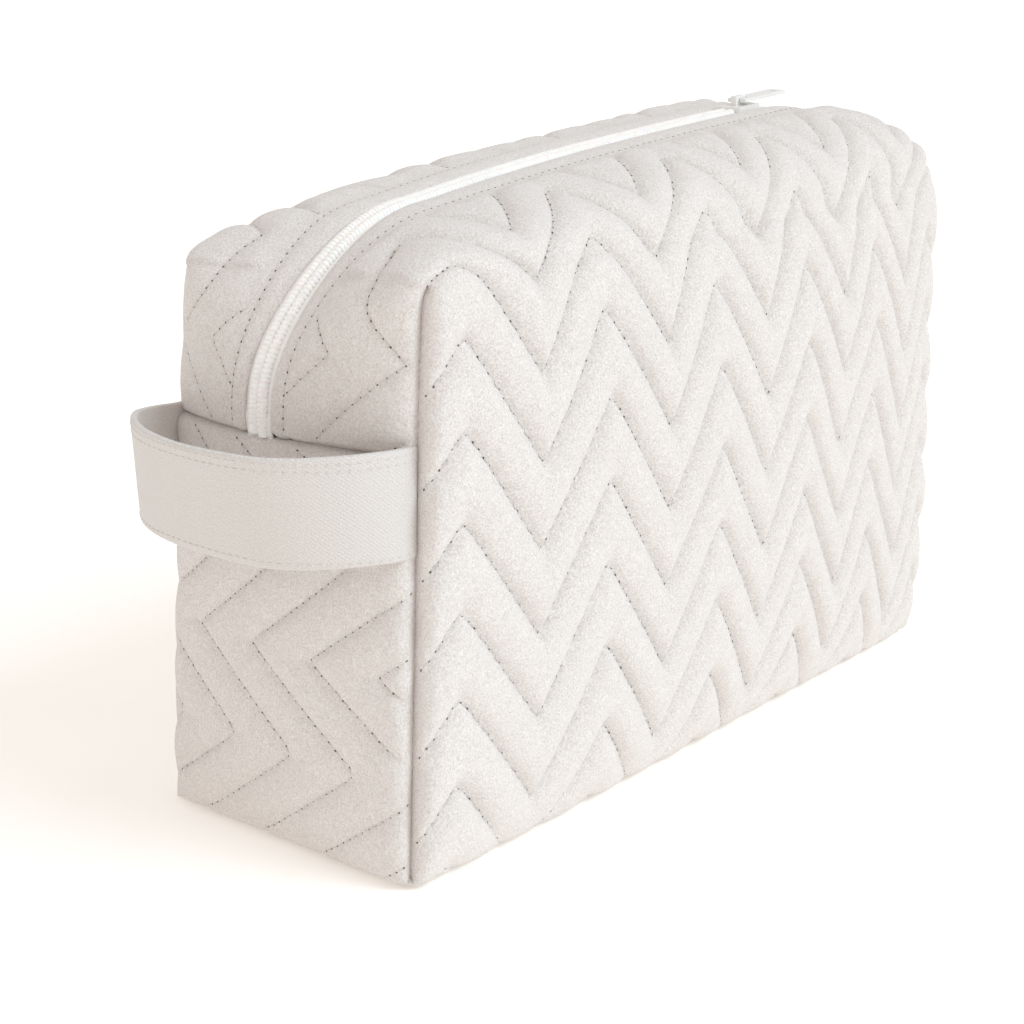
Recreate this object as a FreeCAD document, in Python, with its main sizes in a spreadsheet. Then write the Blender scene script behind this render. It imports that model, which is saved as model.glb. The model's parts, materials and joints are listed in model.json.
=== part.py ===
# Quilted makeup bag: a soft boxed pouch with a zipped top and a carrying strap on one end.
# Frame: origin at the bottom centre, +X along the length (the strap is at -X), +Z up, millimetres.
# The cloth is three layers: face fabric, wadding and lining. Each layer is the space between two
# nested moulds of one bag shape. The mouth halves hinge outwards once the zip is undone.
import FreeCAD, Part
import math
import os
import re

import Sketcher

os.makedirs("parts", exist_ok=True)
doc = FreeCAD.newDocument("MakeupBag")

# ------------------------------------------------------------------ driving dimensions
SIZES = {
    "bag_length": 230.0,       # outside length between the two end panels
    "bag_width": 84.0,         # outside width at the corner seams
    "face_bulge": 9.0,         # how far the stuffed long faces stand out beyond the corner seams
    "shoulder_height": 136.0,  # where the long faces turn over into the top
    "near_crest": 151.0,       # height of the zip line at the strap end
    "far_crest": 161.0,        # height of the zip line at the other end
    "fold_radius": 38.0,       # radius of the zip line where it folds down over each end
    "base_round": 12.0,        # rounding of the four bottom edges
    "corner_round": 6.0,       # rounding of the four upright corner seams
    "seam_height": 101.0,      # the level seam across each end panel
    "cloth_gap": 0.3,          # gap between a mouth half and the base along the seam height
    "fabric_thick": 1.0,
    "wadding_thick": 3.2,
    "lining_thick": 0.5,
    "zip_window": 11.0,        # width of zip left showing between the two fabric edges
    "zip_gap": 1.4,            # gap between the two zip halves, which the slider's divider rides in
    "tape_thick": 0.6,
    "tape_width": 14.0,        # one zip tape, from the middle of the zip to its sewn edge
    "tape_clearance": 0.5,     # between a tape's sewn edge and the wadding
    "coil_width": 2.6,         # middle of the zip to the outer side of one coil
    "coil_height": 1.6,
    "binding_width": 8.0,      # bias binding over the raw seam edges inside the bag
    "binding_thick": 1.2,
    "binding_gap": 0.2,
    "strap_width": 25.0,
    "strap_thick": 2.0,
    "strap_drop": 0.5,         # from the end seam down to the strap's upper edge when level
    "strap_reach": 27.0,       # from the end panel to the outside of the strap
    "strap_bend": 16.0,        # outside radius of the strap's two bends
    "tail_length": 4.0,        # the flexing length of strap at each seam
    "tail_gap": 0.3,
    "slider_length": 11.0,
    "slider_inset": 6.0,       # from the far end of the straight zip line to the slider's middle
    "plate_thick": 1.1,
    "slider_clearance": 0.25,  # between the slider and the coils and tapes it runs on
    "flange_thick": 0.9,
    "divider_width": 1.0,
    "divider_length": 3.0,
    "bail_length": 5.0,
    "bail_width": 1.8,
    "bail_height": 2.6,
    "pin_size": 1.2,           # diameter of the pull's cross pin
    "pin_clearance": 0.08,     # radial clearance of the pin in the bail
    "pull_length": 22.0,
    "pull_width": 6.0,
    "pull_thick": 1.0,
    "fork_depth": 3.5,         # from the cross pin to the bottom of the pull's fork
    "pull_hole": 2.4,          # diameter of the hole at the pull's free end
}

sheet = doc.addObject("Spreadsheet::Sheet", "Sizes")
for row, (alias, value) in enumerate(SIZES.items(), start=1):
    sheet.set("A%d" % row, alias)
    sheet.set("B%d" % row, str(value))
    sheet.setAlias("B%d" % row, alias)
doc.recompute()

# ------------------------------------------------------------------ values worked out from the sheet
HALF_LENGTH = "(bag_length / 2)"
HALF_WIDTH = "(bag_width / 2)"
CLOTH = "(fabric_thick + wadding_thick + lining_thick)"
END_FLAT = "(bag_width / 2 - corner_round)"            # half the flat width of an end panel
STRAIGHT_ZIP = "(bag_length - 2 * fold_radius)"
ZIP_SLOPE = "atan((far_crest - near_crest) / %s)" % STRAIGHT_ZIP
PAST = "(2 * (bag_length + far_crest))"                # a length that clears the whole bag
STRAP_TOP = "(seam_height - strap_drop)"
STRAP_START = "(bag_length / 2 + tail_length + tail_gap)"


def rule(text):
    """The text with each of the sheet's aliases named in full."""
    return re.sub(r"[a-z]+_[a-z_]+", lambda word: "Sizes." + word.group(), text)


def number(text):
    """What an expression comes to now."""
    return float(sheet.evalExpression(rule(text)))


def bind(thing, **rules):
    """Ties properties to the sheet; a double underscore in a name stands for a dot."""
    for name, text in rules.items():
        thing.setExpression(name.replace("__", "."), rule(text))


def place(thing, x="0", y="0", z="0"):
    bind(thing, Placement__Base__x=x, Placement__Base__y=y, Placement__Base__z=z)


# ------------------------------------------------------------------ makers
def make_box(label, size, corner):
    box = doc.addObject("Part::Box", label)
    bind(box, Length=size[0], Width=size[1], Height=size[2])
    place(box, *corner)
    return box


def make_centred_box(label, size, centre):
    """A box whose place is given by its centre in X and Y and its underside in Z."""
    corner = ("%s - (%s) / 2" % (centre[0], size[0]), "%s - (%s) / 2" % (centre[1], size[1]), centre[2])
    return make_box(label, size, corner)


def make_crosswise_rod(label, diameter, length, centre):
    """A round rod along Y."""
    rod = doc.addObject("Part::Cylinder", label)
    rod.Placement.Rotation = FreeCAD.Rotation(FreeCAD.Vector(1, 0, 0), -90)
    bind(rod, Radius="(%s) / 2" % diameter, Height=length)
    place(rod, centre[0], "%s - (%s) / 2" % (centre[1], length), centre[2])
    return rod


def make_upright_rod(label, diameter, length, foot):
    rod = doc.addObject("Part::Cylinder", label)
    bind(rod, Radius="(%s) / 2" % diameter, Height=length)
    place(rod, *foot)
    return rod


def cut(label, base, tool):
    result = doc.addObject("Part::Cut", label)
    result.Base = base
    result.Tool = tool
    return result


def common(label, *pieces):
    result = doc.addObject("Part::MultiCommon", label)
    result.Shapes = list(pieces)
    return result


def fuse(label, *pieces):
    result = doc.addObject("Part::MultiFuse", label)
    result.Shapes = list(pieces)
    return result


def arc_between(start, end, radius):
    """The short arc from start to end. A positive radius bows to the right of that direction."""
    chord = end - start
    left = FreeCAD.Vector(-chord.y, chord.x, 0).normalize()
    rise = math.sqrt(max(radius ** 2 - (chord.Length / 2) ** 2, 0.0))
    centre = (start + end) * 0.5 + left * math.copysign(rise, radius)
    first, last = (start, end) if radius > 0 else (end, start)
    angles = [math.atan2(point.y - centre.y, point.x - centre.x) for point in (first, last)]
    circle = Part.Circle(centre, FreeCAD.Vector(0, 0, 1), abs(radius))
    return Part.ArcOfCircle(circle, *angles)


def make_outline(label, corners, radii, rotation):
    """A closed sketch through corners, counter-clockwise. A radius bends the run after its corner,
    None leaves it straight and a minus sign in front bends it inwards."""
    sketch = doc.addObject("Sketcher::SketchObject", label)
    points = [FreeCAD.Vector(number(across), number(up), 0) for across, up in corners]
    starts = []
    for index, radius in enumerate(radii):
        start = points[index]
        end = points[(index + 1) % len(points)]
        if radius is None:
            sketch.addGeometry(Part.LineSegment(start, end))
        else:
            sketch.addGeometry(arc_between(start, end, number(radius)))
        starts.append(2 if radius is not None and radius.startswith("-") else 1)
    for index in range(len(points)):
        before = (index - 1) % len(points)
        sketch.addConstraint(
            Sketcher.Constraint("Coincident", before, 3 - starts[before], index, starts[index]))
    for index, (across, up) in enumerate(corners):
        for kind, text in (("DistanceX", across), ("DistanceY", up)):
            held = sketch.addConstraint(
                Sketcher.Constraint(kind, -1, 1, index, starts[index], number(text)))
            sketch.setExpression("Constraints[%d]" % held, rule(text))
    for index, radius in enumerate(radii):
        if radius is not None:
            size = radius.lstrip("-")
            held = sketch.addConstraint(Sketcher.Constraint("Radius", index, number(size)))
            sketch.setExpression("Constraints[%d]" % held, rule(size))
    sketch.Placement.Rotation = rotation
    return sketch


def extrude(label, sketch, length):
    """The sketch made solid, half of the length to each side of it."""
    solid = doc.addObject("Part::Extrusion", label)
    solid.Base = sketch
    solid.DirMode = "Normal"
    solid.Symmetric = True
    solid.Solid = True
    bind(solid, LengthFwd=length)
    return solid


# ------------------------------------------------------------------ the bag's shape, as nested moulds
FLAT = FreeCAD.Rotation()
FACING_X = FreeCAD.Rotation(FreeCAD.Vector(1, 1, 1), 120)    # sketch across = Y, up = Z
FACING_Y = FreeCAD.Rotation(FreeCAD.Vector(1, 0, 0), 90)     # sketch across = X, up = Z


def bow_radius(half_chord, rise):
    return "((({0}) ^ 2 + ({1}) ^ 2) / (2 * ({1})))".format(half_chord, rise)


def make_mould(label, depth):
    """The bag's outer shape shrunk by depth on every side: what its three outlines have in common."""
    side = "(bag_width / 2 - %s)" % depth
    end = "(bag_length / 2 - %s)" % depth
    foot = "(bag_width / 2 - base_round)"
    long_foot = "(bag_length / 2 - base_round)"
    crown = "(far_crest - %s - shoulder_height)" % depth
    flank = bow_radius("(shoulder_height - base_round) / 2", "face_bulge")
    base_bend = "(base_round - %s)" % depth
    section = make_outline(
        label + "_section",
        [("-" + foot, depth), (foot, depth), (side, "base_round"), (side, "shoulder_height"),
         ("-" + side, "shoulder_height"), ("-" + side, "base_round")],
        [None, base_bend, flank, bow_radius(side, crown), flank, base_bend],
        FACING_X)
    fold_start = "(bag_length / 2 - fold_radius)"
    fold_bend = "(fold_radius - %s)" % depth
    profile = make_outline(
        label + "_profile",
        [("-" + long_foot, depth), (long_foot, depth), (end, "base_round"),
         (end, "far_crest - fold_radius"), (fold_start, "far_crest - %s" % depth),
         ("-" + fold_start, "near_crest - %s" % depth), ("-" + end, "near_crest - fold_radius"),
         ("-" + end, "base_round")],
        [None, base_bend, None, fold_bend, None, fold_bend, None, base_bend],
        FACING_Y)
    corner_bend = "(corner_round - %s)" % depth
    long_side = "(bag_length / 2 - corner_round)"
    face = bow_radius(long_side, "face_bulge")
    plan = make_outline(
        label + "_plan",
        [("-" + long_side, "-" + side), (long_side, "-" + side), (end, "-" + END_FLAT),
         (end, END_FLAT), (long_side, side), ("-" + long_side, side), ("-" + end, END_FLAT),
         ("-" + end, "-" + END_FLAT)],
        [face, corner_bend, None, corner_bend, face, corner_bend, None, corner_bend],
        FLAT)
    return common(
        label,
        extrude(label + "_along", section, PAST),
        extrude(label + "_across", profile, PAST),
        extrude(label + "_upright", plan, PAST))


coil_top = make_mould("coil_top", "(fabric_thick - coil_height)")
fabric_outside = make_mould("fabric_outside", "0")
fabric_inside = make_mould("fabric_inside", "fabric_thick")
tape_inside = make_mould("tape_inside", "(fabric_thick + tape_thick)")
wadding_inside = make_mould("wadding_inside", "(fabric_thick + wadding_thick)")
lining_inside = make_mould("lining_inside", CLOTH)

fabric_layer = cut("fabric_layer", fabric_outside, fabric_inside)
wadding_layer = cut("wadding_layer", fabric_inside, wadding_inside)
lining_layer = cut("lining_layer", wadding_inside, lining_inside)
tape_layer = cut("tape_layer", fabric_inside, tape_inside)
coil_layer = cut("coil_layer", coil_top, fabric_inside)

# ------------------------------------------------------------------ base of the bag
BASE_TOP = "(seam_height - cloth_gap / 2)"
MOUTH_FOOT = "(seam_height + cloth_gap / 2)"


def base_part(label, layer):
    region = make_centred_box(label + "_region", (PAST, PAST, "2 * %s" % BASE_TOP),
                              ("0", "0", "-%s" % BASE_TOP))
    return common(label, layer, region)


SUB_PARTS = []
SUB_PARTS.append(base_part("face_fabric_base", fabric_layer))
SUB_PARTS.append(base_part("wadding_base", wadding_layer))
SUB_PARTS.append(base_part("lining_base", lining_layer))

# Bias bindings over the raw edges lie flat on the lining of each end panel.
ENDS = (("near", -1), ("far", 1))
SIDES = (("front", -1), ("back", 1))
BINDING_PLACE = "(bag_length / 2 - %s - binding_thick / 2)" % CLOTH
BINDING_ROW = "(%s - binding_width / 2)" % END_FLAT

for end_name, end_sign in ENDS:
    for side_name, side_sign in SIDES:
        across = "%d * %s" % (side_sign, BINDING_ROW)
        along = "%d * %s" % (end_sign, BINDING_PLACE)
        SUB_PARTS.append(make_centred_box(
            "corner_binding_base_%s_%s" % (end_name, side_name),
            ("binding_thick", "binding_width", "%s - base_round" % BASE_TOP),
            (along, across, "base_round")))
        SUB_PARTS.append(make_centred_box(
            "corner_binding_mouth_%s_%s" % (end_name, side_name),
            ("binding_thick", "binding_width", "near_crest - fold_radius - %s" % MOUTH_FOOT),
            (along, across, MOUTH_FOOT)))
    SUB_PARTS.append(make_centred_box(
        "end_seam_binding_%s" % end_name,
        ("binding_thick", "2 * (%s - binding_width - binding_gap)" % END_FLAT, "binding_width"),
        ("%d * %s" % (end_sign, BINDING_PLACE), "0", "%s - binding_width" % BASE_TOP)))


# ------------------------------------------------------------------ mouth halves and their zip tapes
def mouth_part(label, layer, side_sign, nearest, widest):
    """The part of a layer above the end seams and between two distances from the zip's middle."""
    width = "((%s) - (%s))" % (widest, nearest)
    middle = "%d * ((%s) + (%s)) / 2" % (side_sign, widest, nearest)
    region = make_centred_box(label + "_region", (PAST, width, PAST), ("0", middle, MOUTH_FOOT))
    return common(label, layer, region)


PADDED_EDGE = "tape_width + tape_clearance"
for side_name, side_sign in SIDES:
    for piece, layer, nearest, widest in (
            ("face_fabric", fabric_layer, "zip_window / 2", PAST),
            ("wadding", wadding_layer, PADDED_EDGE, PAST),
            ("lining", lining_layer, PADDED_EDGE, PAST),
            ("zipper_tape", tape_layer, "zip_gap / 2", "tape_width"),
            ("zipper_coil", coil_layer, "zip_gap / 2", "coil_width")):
        SUB_PARTS.append(mouth_part("%s_%s" % (piece, side_name), layer, side_sign, nearest, widest))

# ------------------------------------------------------------------ strap
STRAP_FOOT = "(%s - strap_width)" % STRAP_TOP
for side_name, side_sign in SIDES:
    SUB_PARTS.append(make_centred_box(
        "strap_tail_%s" % side_name,
        ("tail_length", "strap_thick", "strap_width"),
        ("-(bag_length / 2 + tail_length / 2)",
         "%d * (%s - strap_thick / 2)" % (side_sign, END_FLAT),
         STRAP_FOOT)))


def make_strap():
    reach = "(bag_length / 2 + strap_reach)"
    bend_start = "(bag_length / 2 + strap_reach - strap_bend)"
    inner = "(%s - strap_thick)" % END_FLAT
    inner_reach = "(bag_length / 2 + strap_reach - strap_thick)"
    bent = "(%s - strap_bend)" % END_FLAT
    inner_bend = "(strap_bend - strap_thick)"
    outline = make_outline(
        "strap_outline",
        [("-" + STRAP_START, END_FLAT), ("-" + bend_start, END_FLAT), ("-" + reach, bent),
         ("-" + reach, "-" + bent), ("-" + bend_start, "-" + END_FLAT),
         ("-" + STRAP_START, "-" + END_FLAT), ("-" + STRAP_START, "-" + inner),
         ("-" + bend_start, "-" + inner), ("-" + inner_reach, "-" + bent),
         ("-" + inner_reach, bent), ("-" + bend_start, inner), ("-" + STRAP_START, inner)],
        [None, "strap_bend", None, "strap_bend", None, None, None, "-" + inner_bend, None,
         "-" + inner_bend, None, None],
        FLAT)
    strap = extrude("strap_loop", outline, "strap_width")
    bind(outline, Placement__Base__z="%s + strap_width / 2" % STRAP_FOOT)
    return strap


SUB_PARTS.append(make_strap())


# ------------------------------------------------------------------ slider and pull
# These are drawn at the zip's middle with z = 0 on top of the tapes, then set on the zip line.
def set_on_zip(thing):
    """Puts a piece on the sloping zip line, the slider's middle a little short of the far fold."""
    thing.Placement.Rotation = FreeCAD.Rotation(FreeCAD.Vector(0, 1, 0), 1)
    run = "(%s / 2 - slider_inset)" % STRAIGHT_ZIP
    rise = "((near_crest + far_crest) / 2 - fabric_thick + %s * tan(%s))" % (run, ZIP_SLOPE)
    bind(thing, Placement__Rotation__Angle="-" + ZIP_SLOPE)
    place(thing, run, "0", rise)
    return thing


PLATE_WIDTH = "(2 * (coil_width + slider_clearance + flange_thick))"
TOP_PLATE = "(coil_height + slider_clearance)"
BOTTOM_PLATE = "-(tape_thick + slider_clearance + plate_thick)"
NOSE = "(slider_length / 2 - divider_length / 2)"


def make_slider():
    top = make_centred_box("slider_top", ("slider_length", PLATE_WIDTH, "plate_thick"),
                           ("0", "0", TOP_PLATE))
    bottom = make_centred_box("slider_bottom", ("slider_length", PLATE_WIDTH, "plate_thick"),
                              ("0", "0", BOTTOM_PLATE))
    divider = make_centred_box(
        "slider_divider",
        ("divider_length", "divider_width", "%s - (%s) - plate_thick / 2" % (TOP_PLATE, BOTTOM_PLATE)),
        (NOSE, "0", "%s + plate_thick / 2" % BOTTOM_PLATE))
    flanges = []
    for side_name, side_sign in SIDES:
        flanges.append(make_centred_box(
            "slider_flange_%s" % side_name,
            ("slider_length", "flange_thick", "%s - slider_clearance + plate_thick / 2" % TOP_PLATE),
            ("0", "%d * (%s - flange_thick) / 2" % (side_sign, PLATE_WIDTH),
             "slider_clearance")))
    return fuse("slider_body", top, bottom, divider, *flanges)


PIN_HEIGHT = "(%s + plate_thick + bail_height / 2)" % TOP_PLATE


def make_bail():
    block = make_centred_box("bail_block", ("bail_length", "bail_width", "bail_height"),
                             ("0", "0", "%s + plate_thick" % TOP_PLATE))
    bore = make_crosswise_rod("bail_bore", "pin_size + 2 * pin_clearance", "2 * bail_width",
                              ("0", "0", PIN_HEIGHT))
    return cut("slider_bail", block, bore)


def make_pull():
    """A flat tab that ends in a fork; the fork's cross pin turns in the bail."""
    underside = "%s - pull_thick / 2" % PIN_HEIGHT
    margin = "(pin_size / 2 + slider_clearance)"
    tab = make_centred_box("pull_plate", ("pull_length", "pull_width", "pull_thick"),
                           ("pull_length / 2 - %s" % margin, "0", underside))
    fork = make_centred_box(
        "pull_fork",
        ("2 * fork_depth", "bail_width + 2 * slider_clearance", "2 * pull_thick"),
        ("0", "0", "%s - pull_thick / 2" % underside))
    hole = make_upright_rod("pull_end_hole", "pull_hole", "2 * pull_thick",
                            ("pull_length - %s - pull_hole * 1.2" % margin, "0",
                             "%s - pull_thick / 2" % underside))
    pin = make_crosswise_rod("pull_pin", "pin_size", "bail_width + 4 * slider_clearance",
                             ("0", "0", PIN_HEIGHT))
    pierced = cut("pull_pierced", cut("pull_forked", tab, fork), hole)
    return fuse("pull_tab", pierced, pin)


SUB_PARTS.append(set_on_zip(make_slider()))
SUB_PARTS.append(set_on_zip(make_bail()))
SUB_PARTS.append(set_on_zip(make_pull()))

# ------------------------------------------------------------------ check and write
doc.recompute()
for item in doc.Objects:
    if {"Invalid", "Error"} & set(item.State):
        raise RuntimeError("%s did not build: %s" % (item.Label, item.State))
for part in SUB_PARTS:
    if part.Shape.isNull() or not part.Shape.isValid() or not part.Shape.Solids:
        raise RuntimeError("%s has no valid solid" % part.Label)
for part in SUB_PARTS:
    part.Shape.exportStep("parts/%s.step" % part.Label)
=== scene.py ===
"""A chevron-quilted makeup bag: two sheets folded into a boxed pouch, with its zip, strap and lining."""

import json
import math
from types import SimpleNamespace

import bpy
import numpy as np
from bpy.props import FloatProperty, PointerProperty
from bpy.types import Operator, Panel, PropertyGroup
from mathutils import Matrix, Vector
from mathutils.bvhtree import BVHTree
from mathutils.kdtree import KDTree

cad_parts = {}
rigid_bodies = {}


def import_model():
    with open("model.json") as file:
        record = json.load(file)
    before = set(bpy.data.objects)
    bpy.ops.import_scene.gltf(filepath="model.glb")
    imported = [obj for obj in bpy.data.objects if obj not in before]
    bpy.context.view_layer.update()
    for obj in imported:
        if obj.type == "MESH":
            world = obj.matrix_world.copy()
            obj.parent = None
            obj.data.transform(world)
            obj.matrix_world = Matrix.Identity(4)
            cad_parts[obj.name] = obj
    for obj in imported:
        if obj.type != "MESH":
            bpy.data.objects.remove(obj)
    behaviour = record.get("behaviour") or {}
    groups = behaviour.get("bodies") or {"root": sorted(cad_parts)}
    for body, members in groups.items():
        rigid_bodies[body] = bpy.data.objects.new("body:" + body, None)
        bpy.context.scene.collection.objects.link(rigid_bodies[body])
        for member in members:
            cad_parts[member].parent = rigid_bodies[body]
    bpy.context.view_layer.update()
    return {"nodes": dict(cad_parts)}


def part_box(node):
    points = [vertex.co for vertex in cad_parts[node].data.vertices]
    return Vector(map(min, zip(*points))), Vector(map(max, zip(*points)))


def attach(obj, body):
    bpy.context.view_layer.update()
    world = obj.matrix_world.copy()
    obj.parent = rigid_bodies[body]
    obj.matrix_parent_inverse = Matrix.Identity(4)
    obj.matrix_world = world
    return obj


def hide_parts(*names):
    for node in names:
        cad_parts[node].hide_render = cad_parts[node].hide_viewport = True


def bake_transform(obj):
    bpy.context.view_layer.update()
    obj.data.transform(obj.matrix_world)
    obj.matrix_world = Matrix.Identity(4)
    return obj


bl_info = {
    "name": "Quilted makeup bag",
    "version": (1, 0, 0),
    "blender": (4, 5, 0),
    "location": "View3D > Sidebar > Makeup bag",
    "description": "Builds a chevron-quilted makeup bag with its zip, strap, lining and studio",
    "category": "Object",
}

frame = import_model()
BASE_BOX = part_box("face_fabric_base")
FRONT_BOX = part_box("face_fabric_front")
STRAP_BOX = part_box("strap_loop")
MM = 0.001


# ------------------------------------------------------------------ settings
def length(name, description, value, **more):
    return FloatProperty(name=name, description=description, default=value, unit="LENGTH", **more)


class BagShape(PropertyGroup):
    """How the folded sheet lies on the bag."""

    half_width: length("Half width", "Middle of the bag to a corner seam, across the bag", 42 * MM)
    corner_height: length("Corner height", "Height of the boxed corners", 139.5 * MM)
    shoulder_height: length("Shoulder height", "Where a long face turns over, half way along", 137 * MM)
    face_bulge: length("Face bulge", "How far the stuffing pushes a long face out", 7.0 * MM)
    end_bulge: length("End bulge", "How far the stuffing pushes an end panel out", 6.0 * MM)
    near_crest: length("Crest by the strap", "Height of the zip where it leaves the near end", 150.5 * MM)
    far_crest: length("Far crest", "Height of the zip at the far end", 162 * MM)
    fold_length: length("End fold length", "Reach of the zip's fold over an end, along the bag", 48 * MM)
    fold_height: length("End fold height", "Drop of the zip's fold over an end", 42 * MM)
    top_flap: length("Top flap", "Fabric from the shoulder to the zip's folded edge", 40 * MM)
    turn_under: length("Turn-under", "Fabric folded back under itself beside the zip", 6 * MM)
    sheet_step: length("Sheet step", "Size of the folded sheet's faces before subdivision", 3.1 * MM)


class Quilting(PropertyGroup):
    """The chevron quilting, in the flat sheet's own measure."""

    spacing: length("Line spacing", "From one zigzag line to the next, across the bag", 20.5 * MM)
    half_wave: length("Half wave", "From a zigzag's peak to its valley, by the strap", 25.4 * MM)
    rise: length("Zigzag rise", "From a zigzag's valley up to its peak", 33 * MM)
    end_half_wave: length("End half wave", "The half wave on the lower end panels", 24.5 * MM)
    end_rise: length("End zigzag rise", "The rise on the lower end panels", 35 * MM)
    face_puff: length("Face puff", "Height of the wadding between two lines on the long faces", 2.7 * MM)
    end_puff: length("End puff", "Height of the wadding between two lines on the lower end panels", 1.2 * MM)
    stitch_pitch: length("Stitch pitch", "One quilting stitch and its gap", 2.6 * MM)
    thread: length("Thread", "Radius of the sewing thread", 0.17 * MM)


class ZipAndStrap(PropertyGroup):
    """The zip and the strap."""

    tooth_pitch: length("Tooth pitch", "One loop of the zip's coil to the next", 1.15 * MM)
    strap_plump: length("Strap thickness", "Two layers of satin twill", 1.7 * MM)
    strap_rise: length("Strap rise", "How far the strap sits above its seam's middle", 3.0 * MM)


class Studio(PropertyGroup):
    """Camera and light."""

    azimuth: FloatProperty(name="Azimuth", description="Camera's turn about the bag", default=-50.94)
    elevation: FloatProperty(name="Elevation", description="Camera's height as an angle", default=16.08)
    distance: length("Distance", "Camera to the point it looks at", 548.1 * MM)
    lens: FloatProperty(name="Lens", description="Focal length on a 36 mm sensor", default=69.8)
    surround: FloatProperty(name="Surround", description="Light from all around", default=0.77)
    key_light: FloatProperty(name="Key light", description="Light from the front right", default=1.5)


class MakeupBag(PropertyGroup):
    """All of the bag's settings."""

    shape: PointerProperty(name="Shape", description="The folded sheet", type=BagShape)
    quilting: PointerProperty(name="Quilting", description="The quilting", type=Quilting)
    trim: PointerProperty(name="Zip and strap", description="The zip and strap", type=ZipAndStrap)
    studio: PointerProperty(name="Studio", description="Camera and light", type=Studio)


def settings():
    return bpy.context.scene.makeup_bag


# ------------------------------------------------------------------ layout of the flat sheet
# The sheet lies flat with p along the bag and q across it: q = 0 in the middle of the bottom, then the
# front face, the shoulder and the top flap up to the zip. The end panels are its wings at both ends.
def layout():
    shape = settings().shape
    flat = SimpleNamespace()
    flat.half_length = BASE_BOX[1].x
    flat.seam = BASE_BOX[1].z
    flat.half_width = shape.half_width
    flat.face_end = shape.half_width + shape.corner_height
    flat.top_end = flat.face_end + shape.top_flap
    flat.sheet_end = flat.top_end + shape.turn_under
    flat.wing_end = flat.half_length + shape.corner_height - flat.seam
    flat.flap_end = flat.half_length + flat.seam
    flat.zip_edge = -FRONT_BOX[1].y - 0.3 * MM
    return flat


SEAM_REACH = 3.6 * MM      # flat width of sheet that rolls in towards a sewn edge
SEAM_EXTENT = 2.7 * MM     # what that width covers on the bag
SEAM_DROP = 1.7 * MM       # how deep the seam line lies below the panels
END_SEAM_SHARE = 0.5       # the level end seam's depth, as a share of that
LONG_PANEL = 60 * MM       # a panel long enough for a seam's roll not to stretch it
TOPSTITCH = 4.2 * MM       # from the folded edge beside the zip to its row of stitches
UPPER_END_PUFF = 1.5 * MM  # height of the wadding where the top turns down over an end
NEAR = 1e-6                # closer than this, two flat places are the same


def roll(distance, flat_span, real_span):
    """Place along a panel and depth below it, for a flat distance from a seam: the last few
    millimetres roll inwards to the seam line."""
    turn = np.clip(1 - distance / SEAM_REACH, 0, 1) * math.pi / 2
    stretch = (real_span - SEAM_EXTENT) / (flat_span - SEAM_REACH)
    along = SEAM_EXTENT + (distance - SEAM_REACH) * stretch
    along = np.where(distance < SEAM_REACH, SEAM_EXTENT * (1 - np.sin(turn)), along)
    return along, SEAM_DROP * (1 - np.cos(turn))


def pillow(across, power=3.0):
    """1 in the middle of a stuffed panel, 0 at its edges, for -1 to 1 across it."""
    return np.clip(1 - np.abs(across) ** power, 0, 1) ** 0.8


def smooth_step(value):
    value = np.clip(value, 0, 1)
    return value * value * (3 - 2 * value)


def travel_along(points):
    """The length along a line at each of its points."""
    return np.concatenate(([0], np.cumsum(np.linalg.norm(np.diff(points, axis=0), axis=1))))


def slump(points):
    """The bag's weight at the strap end: it spreads at the foot and draws in towards the top."""
    flat = layout()
    share = np.clip(-points[:, 0] / flat.half_length, 0, 1) ** 2
    height = np.clip(points[:, 2] / (138 * MM), 0, 1.1)
    depth = (points[:, 1] + flat.half_width) / (2 * flat.half_width)
    moved = points.copy()
    moved[:, 0] += share * MM * (-5.5 + 7 * height ** 1.1 + depth * (1.5 + 4.5 * height))
    moved[:, 2] -= share * MM * 4.5 * height ** 3 * depth
    # the zip's foot by the strap is sewn a little off the middle, towards the back
    below = smooth_step((points[:, 2] - 60 * MM) / (40 * MM))
    above = 1 - smooth_step((points[:, 2] - 108 * MM) / (38 * MM))
    at_foot = below * above * smooth_step((-points[:, 0] - 60 * MM) / (45 * MM))
    moved[:, 1] += 5 * MM * at_foot * np.clip(1 - (points[:, 1] / flat.half_width) ** 2, 0, 1)
    return moved


def crest_height(x, shape, flat):
    """Height of the zip line along the straight of the top."""
    share = np.clip((x + flat.half_length - 40 * MM) / (2 * flat.half_length - 80 * MM), -0.3, 1.05)
    return shape.near_crest + (shape.far_crest - shape.near_crest) * share * (1.3 - 0.3 * share)


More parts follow.
